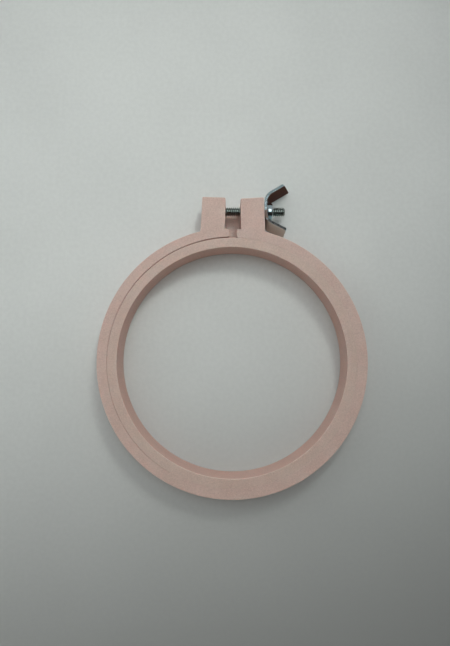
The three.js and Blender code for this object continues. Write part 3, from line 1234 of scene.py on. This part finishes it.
@dataclass
class ClampBolt:
    """A machine screw whose six-sided head is held in the left lug."""

    places: Places
    thread_size: float = 4.83
    pitch: float = 25.4 / 24
    thread_depth: float = 0.62
    flank: Span = (0.06, 0.44)
    tip_chamfer: float = 0.72
    rows: int = 12
    around: int = 48
    flats: float = 7.94
    head_height: float = 3.05
    head_chamfer: float = 0.35
    head_corner: float = 0.15
    head_edge: float = 0.06
    plate: PlatedSteel = PlatedSteel("bolt_plate", (0.50, 0.58, 0.53), (0.38, 0.45, 0.41), 0.18)

    def build(self) -> bpy.types.Object:
        """Cuts the thread and sets the head on it.

        Returns:
            The bolt.
        """
        steel = self.plate.material()
        bolt = self.thread(steel)
        head = self.head()
        self.mark_grooves(bolt)
        mark_rims(head)
        head.data.materials.append(steel)
        with bpy.context.temp_override(active_object=bolt, selected_editable_objects=[bolt, head]):
            bpy.ops.object.join()
        bolt.name = bolt.data.name = "clamp_bolt_threaded"
        dress(bolt, steel, Slot.BOLT_STEEL)
        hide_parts("clamp_bolt")
        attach(bolt, Body.BOLT.value)
        return bolt

    def thread(self, steel: bpy.types.Material) -> bpy.types.Object:
        """Winds the thread: a grid rolled up askew, so that its rows run along the helix.

        Args:
            steel: The bolt's material.

        Returns:
            The threaded rod.
        """
        start = self.places.head_x + self.head_height * 0.5
        rows = math.ceil((self.places.tip_x - start) / self.pitch + 2) * self.rows
        recipe = Recipe("clamp_bolt_thread")
        bench = recipe.bench
        sizes = {"Crest Radius": self.thread_size / 2, "Thread Depth": self.thread_depth,
                 "Pitch": self.pitch, "Start": start, "End": self.places.tip_x,
                 "Point Radius": self.thread_size / 2 - self.tip_chamfer}
        crest, depth, pitch, first, last, point = (
            recipe.take(name, "Float", size * MM) for name, size in sizes.items())
        row_count = recipe.take("Rows", "Int", rows + 1)
        around = recipe.take("Around", "Int", self.around + 1)
        grid = bench.add("GeometryNodeMeshGrid", {
            "Size X": 1.0, "Size Y": 1.0, "Vertices X": row_count, "Vertices Y": around}, "Mesh")
        spot = bench.add("GeometryNodeInputPosition")
        row = bench.maths("ROUND", (bench.part(spot, "X") + 0.5) * (row_count - 1.0))
        turn = bench.part(spot, "Y") + 0.5
        along = first + pitch * (row / float(self.rows) + turn - 1.0)
        x = bench.maths("MINIMUM", bench.maths("MAXIMUM", along, first), last)
        off_crest = bench.maths("ABSOLUTE", bench.maths("FRACT", row / float(self.rows)) - 0.5)
        radius = crest - depth * bench.ramp(off_crest, *self.flank)
        for from_end in (last - x, x - first):
            radius = bench.maths("MINIMUM", radius, point + from_end)
        inside = bench.maths("GREATER_THAN", row, 0.5) * bench.maths("LESS_THAN", row, row_count - 1.5)
        radius = radius * inside
        angle = turn * (2 * math.pi)
        axis = self.places.bolt_axis
        wrapped = bench.add("ShaderNodeCombineXYZ", {
            "X": x,
            "Y": axis.y + radius * bench.maths("COSINE", angle),
            "Z": axis.z + radius * bench.maths("SINE", angle),
        })
        rolled = bench.add("GeometryNodeSetPosition", {"Geometry": grid, "Position": wrapped})
        closed = bench.add("GeometryNodeMergeByDistance", {"Geometry": rolled, "Distance": 0.002 * MM})
        return recipe.make(closed, steel)

    def head(self) -> bpy.types.Object:
        """Makes the six-sided head with its corners turned off.

        Returns:
            The head.
        """
        top, seat = self.places.head_x, self.places.head_x + self.head_height
        corner = self.flats / 2 / math.cos(math.pi / 6)
        axis = self.places.bolt_axis
        head = bar_along_x(hexagon(self.flats, self.head_corner), [(top, 0.0), (seat, 0.0)], axis)
        turned = turned_along_x([
            (0.0, top), (self.flats / 2 - self.head_chamfer, top), (corner, top + self.head_chamfer * 1.6),
            (corner, seat + 1.0), (0.0, seat + 1.0)], axis)
        join(head, turned, Join.KEEP_COMMON)
        return round_edges(head, self.head_edge, 2, 25)

    def mark_grooves(self, bolt: bpy.types.Object) -> None:
        """Marks how deep each point lies in the thread, where painted shade darkens the plate and it is
        duller.

        Args:
            bolt: The threaded rod.
        """
        axis = self.places.bolt_axis
        crest = self.thread_size / 2 * MM
        radii = [math.hypot(v.co.y - axis.y, v.co.z - axis.z) for v in bolt.data.vertices]
        depths = [share_between(crest - radius, 0.0, self.thread_depth * MM) for radius in radii]
        mark(bolt, "groove", depths, "POINT")


@dataclass(frozen=True)
class Wing:
    """One wing of the nut: its side, its bend in degrees, its flat part's length and its tip's slant."""

    side: int
    bend: float
    length: float
    tip_slant: float


@dataclass
class WingNut:
    """A wing nut pressed from one strip of sheet, with a drawn collar for the thread."""

    places: Places
    sheet: float = 1.3
    width: float = 10.4
    flat: float = 3.3
    bend_radius: float = 6.5
    slant: float = 0.7
    corner: float = 1.0
    upper: Wing = Wing(1, 58.0, 10.15, 2.1)
    lower: Wing = Wing(-1, 62.0, 8.1, 0.45)
    turn: float = 6.0
    collar: float = 9.2
    collar_height: float = 4.6
    shoulder: float = 1.1
    flare: float = 0.9
    bore: float = 2.515
    bore_roll: float = 0.8
    bore_chamfer: float = 0.4
    across: int = 22
    along: int = 30
    rim: float = 0.34
    film_from: Span = (5.0, 6.2)
    haze_from: Span = (4.8, 7.8)
    bend_film: float = 0.75
    edge_film_from: Span = (0.0, 1.5)
    edge_film: float = 0.85
    # Painted shade on the lower wing's near edge, toward its tip.
    edge_dark: float = 1.15
    # Painted shadow where the nut's seat meets the lug's edge.
    seat_painted_shadow: float = 0.8
    seat_reach: float = 5.0
    plate: PlatedSteel = PlatedSteel("wing_nut_plate", (0.60, 0.73, 0.76), (0.52, 0.63, 0.66), 0.08, 0.006)

    def build(self) -> bpy.types.Object:
        """Bends the strip, draws the collar and opens the bore.

        Returns:
            The nut.
        """
        nut = self.strip()
        join(nut, self.drawn_collar(), Join.ADD)
        join(nut, self.bore_tool(), Join.CUT)
        self.mark_films(nut)
        nut.data.transform(self.stance())
        mark_rims(nut)
        dress(nut, self.plate.material(), Slot.NUT_STEEL)
        nut.name = nut.data.name = "wing_nut_pressed"
        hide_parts("wing_nut")
        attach(nut, Body.NUT.value)
        return nut

    def mark_films(self, nut: bpy.types.Object) -> None:
        """Marks where the plate has a brown film and where a painted shadow lies, where it is hazy, and
        where painted shade makes it dull and dark.

        Args:
            nut: The nut in its own frame.
        """
        marks = [self.marks_of(face.center / MM, face.normal) for face in nut.data.polygons]
        for name, values in zip(("film", "haze", "groove"), zip(*marks)):
            mark(nut, name, values)

    def marks_of(self, place: Vector, facing: Vector) -> tuple[float, float, float]:
        """Tells how a face of the nut is marked.

        The film lies on the upper wing's inner face, round the lower bend's outside and on the edges beside
        it. Where the seat meets the edge the same mark is a painted shadow. The haze lies on the lower
        wing's outer face, and painted shade makes that wing's edge dull and dark toward its tip.

        Args:
            place: The face's middle in the nut's own frame, in millimetres.
            facing: The face's normal.

        Returns:
            The film with its painted shadow, the haze and the painted shade, each 0 to about 1.
        """
        half = self.width / 2
        if abs(facing.z) < 0.85 and abs(place.z) < half - 0.02:
            if facing.x > 0.2 and facing.y < 0.01 and place.y > 0:
                return share_between(place.y, *self.film_from), 0.0, 0.0
            if facing.x < -0.1 and facing.y < -0.05 and place.y < 0:
                haze = share_between(-place.y, *self.haze_from) if abs(facing.z) < 0.15 else 0.0
                return self.bend_film * (1 - haze), haze, 0.0
        if place.z > half - (self.rim + 0.01):
            # Painted shadow where the seat meets the lug, in the film's brown.
            if facing.x < -0.25 and abs(place.y) < self.seat_reach:
                return self.seat_painted_shadow, 0.1, 0.0
            tip = share_between(-place.y, *self.film_from)
            low = share_between(-place.y, *self.edge_film_from) * (1 - tip)
            # Painted shade darkens the lower wing's edge toward its tip.
            return self.edge_film * low, (1 - self.edge_film) * low, self.edge_dark * tip
        return 0.0, 0.0, 0.0

    def stance(self) -> Matrix:
        """From the nut's own frame, seat at X = 0, to the frame."""
        place = self.places.bolt_axis + Vector((self.places.seat_x * MM, 0, 0))
        return Matrix.Translation(place) @ Matrix.Rotation(math.radians(-self.turn), 4, "X")

    def bent(self, share: float, across: float, wing: Wing) -> Vector:
        """A point of the strip's outer face.

        Args:
            share: 0 at the middle of the seat, 1 at the wing's tip.
            across: Distance from the strip's middle line.
            wing: The wing that the point lies on.

        Returns:
            The point in the nut's own frame, in metres.
        """
        bend = math.radians(wing.bend)
        aslant = wing.side * across / (self.width / 2)
        start = self.flat + self.slant * aslant
        curved = self.bend_radius * bend
        straight = wing.length - wing.tip_slant * aslant - self.trim(across)
        path = share * (start + curved + straight)
        slope = max(0.0, min(bend, (path - start) / self.bend_radius))
        rest = max(0.0, path - start - curved)
        out = min(path, start) + self.bend_radius * math.sin(slope) + rest * math.cos(bend)
        up = self.bend_radius * (1 - math.cos(slope)) + rest * math.sin(bend)
        return Vector((up, wing.side * out, across)) * MM

    def trim(self, across: float) -> float:
        """How far the rounded corner cuts the wing's tip back at a distance from the middle line."""
        inside = max(0.0, abs(across) - (self.width / 2 - self.corner))
        return self.corner - math.sqrt(max(0.0, self.corner**2 - inside**2))

    def strip(self) -> bpy.types.Object:
        """Bends the strip of sheet and rounds its cut edges.

        Returns:
            The bent strip.
        """
        inner = self.width / 2 - self.corner
        arcs = [inner + self.corner * math.sin(math.pi / 2 * k / 5) for k in range(1, 6)]
        middle = [inner * (2 * k / self.across - 1) for k in range(self.across + 1)]
        shares = [k / self.along for k in range(self.along + 1)]
        shape = bmesh.new()
        grid = []
        for across in [-a for a in arcs[::-1]] + middle + arcs:
            lower = [self.bent(s, across, self.lower) for s in shares[:0:-1]]
            upper = [self.bent(s, across, self.upper) for s in shares]
            grid.append([shape.verts.new(p) for p in lower + upper])
        for near, far in zip(grid, grid[1:]):
            for k in range(len(near) - 1):
                shape.faces.new((near[k], far[k], far[k + 1], near[k + 1]))
        shape.normal_update()
        if sum(face.normal.x for face in shape.faces) > 0:
            bmesh.ops.reverse_faces(shape, faces=shape.faces)
        strip = as_object("strip", shape)
        thick = strip.modifiers.new("sheet", "SOLIDIFY")
        thick.thickness = self.sheet * MM
        thick.offset = -1.0
        thick.use_even_offset = True
        return round_edges(strip, self.rim, 4, 50)

    def drawn_collar(self) -> bpy.types.Object:
        """The collar, flared where it leaves the sheet and rounded at its rim.

        Returns:
            The collar, with no bore.
        """
        radius = self.collar / 2
        flare = arc((radius + self.flare, self.sheet + self.flare), self.flare, 268, 180, 6)
        rim = arc((radius - self.shoulder, self.collar_height - self.shoulder), self.shoulder, 0, 90, 8)
        profile = [(0.0, self.sheet / 2), (radius, self.sheet / 2), *flare, *rim, (0.0, self.collar_height)]
        return turned_along_x(profile, Vector())

    def bore_tool(self) -> bpy.types.Object:
        """The bore, rolled in at the seat where the sheet was drawn, and chamfered at the rim.

        Returns:
            The body that cuts it.
        """
        roll, chamfer, end = self.bore_roll, self.bore_chamfer, self.collar_height + 1.0
        seat = arc((self.bore + roll, roll), roll, 262, 180, 7)
        rim = arc((self.bore + chamfer, self.collar_height - chamfer), chamfer, 180, 98, 4)
        lead = [(0.0, -1.0), (seat[0][0] + 0.2, -1.0)]
        return turned_along_x([*lead, *seat, *rim, (rim[-1][0] + 0.2, end), (0.0, end)], Vector())


# Studio


@dataclass(frozen=True)
class SoftLight:
    """A round soft light that points at the middle of the hoop, or at a place beside it."""

    name: str
    place: Place
    size: float
    power: float
    colour: Colour
    aim: Place = (0.0, 0.0, 0.0)
    spread: float = 180.0
    mirrored: bool = False

    def build(self, middle: Vector) -> None:
        """Hangs the light.

        Args:
            middle: The middle of the hoop, which the aim is taken from.
        """
        lamp = bpy.data.lights.new(self.name, "AREA")
        lamp.shape = "DISK"
        lamp.size = self.size
        lamp.energy = self.power
        lamp.color = self.colour
        lamp.spread = math.radians(self.spread)
        holder = add_object(self.name, lamp)
        holder.location = self.place
        toward = middle + Vector(self.aim) - Vector(self.place)
        holder.rotation_euler = toward.to_track_quat("-Z", "Y").to_euler()
        holder.visible_glossy = self.mirrored


@dataclass
class Studio:
    """A pale table, daylight from beyond the lugs and the camera straight above."""

    places: Places
    camera_offset: Place = (-1.86, 1.38, 252.9)
    camera_turn: Place = (4.304, 0.394, 0.506)
    sensor: float = 36.0
    focal_pixels: float = 466.0
    picture_pixels: float = 646.0
    table: float = 2.4
    room_dark: Colour = (0.020, 0.016, 0.014)
    room_bright: Colour = (0.347, 0.355, 0.360)
    room_rise: Span = (-0.6, 0.9)
    lights: tuple[SoftLight, ...] = (
        SoftLight("window", (0.12, 0.325, 0.44), 0.14, 0.165, (0.98, 1.0, 0.96), (-0.11, 0.09, 0.0), 75.0),
        SoftLight("room_left", (-0.45, 0.15, 0.35), 0.40, 0.47, (0.97, 1.0, 1.0)),
        SoftLight("far_wall", (0.0, 0.80, 0.60), 0.50, 0.47, (1.0, 0.99, 0.97)),
        SoftLight("near_wall", (0.0, -0.50, 0.35), 0.50, 0.50, (1.0, 0.93, 0.85)),
        SoftLight("ceiling", (0.0, 0.17, 0.80), 0.60, 1.93, (0.93, 1.0, 1.02), mirrored=True),
    )

    def set_camera(self) -> None:
        """Sets up the camera at the photograph's viewing angle."""
        camera = bpy.data.cameras.new("camera")
        camera.lens = self.sensor * self.focal_pixels / self.picture_pixels
        holder = add_object("camera", camera)
        holder.location = self.places.hoop_axis + Vector(self.camera_offset) * MM
        holder.rotation_euler = [math.radians(angle) for angle in self.camera_turn]
        bpy.context.scene.camera = holder

    def lay_table(self) -> None:
        """Lays the table top under the hoop."""
        half = self.table / 2
        mesh = bpy.data.meshes.new("table")
        corners = [(-half, -half, 0.0), (half, -half, 0.0), (half, half, 0.0), (-half, half, 0.0)]
        mesh.from_pydata(corners, [], [(0, 1, 2, 3)])
        mesh.materials.append(TableTop().material())
        table = add_object("table", mesh)

    def set_lights(self) -> None:
        """Hangs the lights and sets the room's own light, brighter on the far side."""
        for light in self.lights:
            light.build(self.places.hoop_axis)
        world = bpy.data.worlds.new("room")
        world.use_nodes = True
        world.node_tree.nodes.clear()
        bench = Bench(world.node_tree)
        direction = bench.add("ShaderNodeTexCoord", None, "Generated")
        forward = bench.ramp(bench.part(direction, "Y"), *self.room_rise)
        colour = bench.blend(forward, self.room_dark, self.room_bright)
        glow = bench.add("ShaderNodeBackground", {"Color": colour, "Strength": 1.0})
        bench.node("ShaderNodeOutputWorld", {"Surface": glow})
        bpy.context.scene.world = world
        bpy.context.scene.view_settings.view_transform = "Standard"


def main() -> None:
    """Builds the studio and dresses the hoop, sub-assembly by sub-assembly."""
    logging.basicConfig(level=logging.INFO, format="%(message)s")
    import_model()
    places = Places.from_frame()
    studio = Studio(places)
    studio.set_camera()
    studio.lay_table()
    studio.set_lights()
    outer = OuterHoop(places)
    builders = (outer.build, outer.build_tongue, InnerHoop(places).build, ClampBolt(places).build,
                WingNut(places).build)
    for build in builders:
        piece = build()
        LOG.info("%s: %d faces", piece.name, len(piece.data.polygons))


if __name__ == "__main__":
    main()
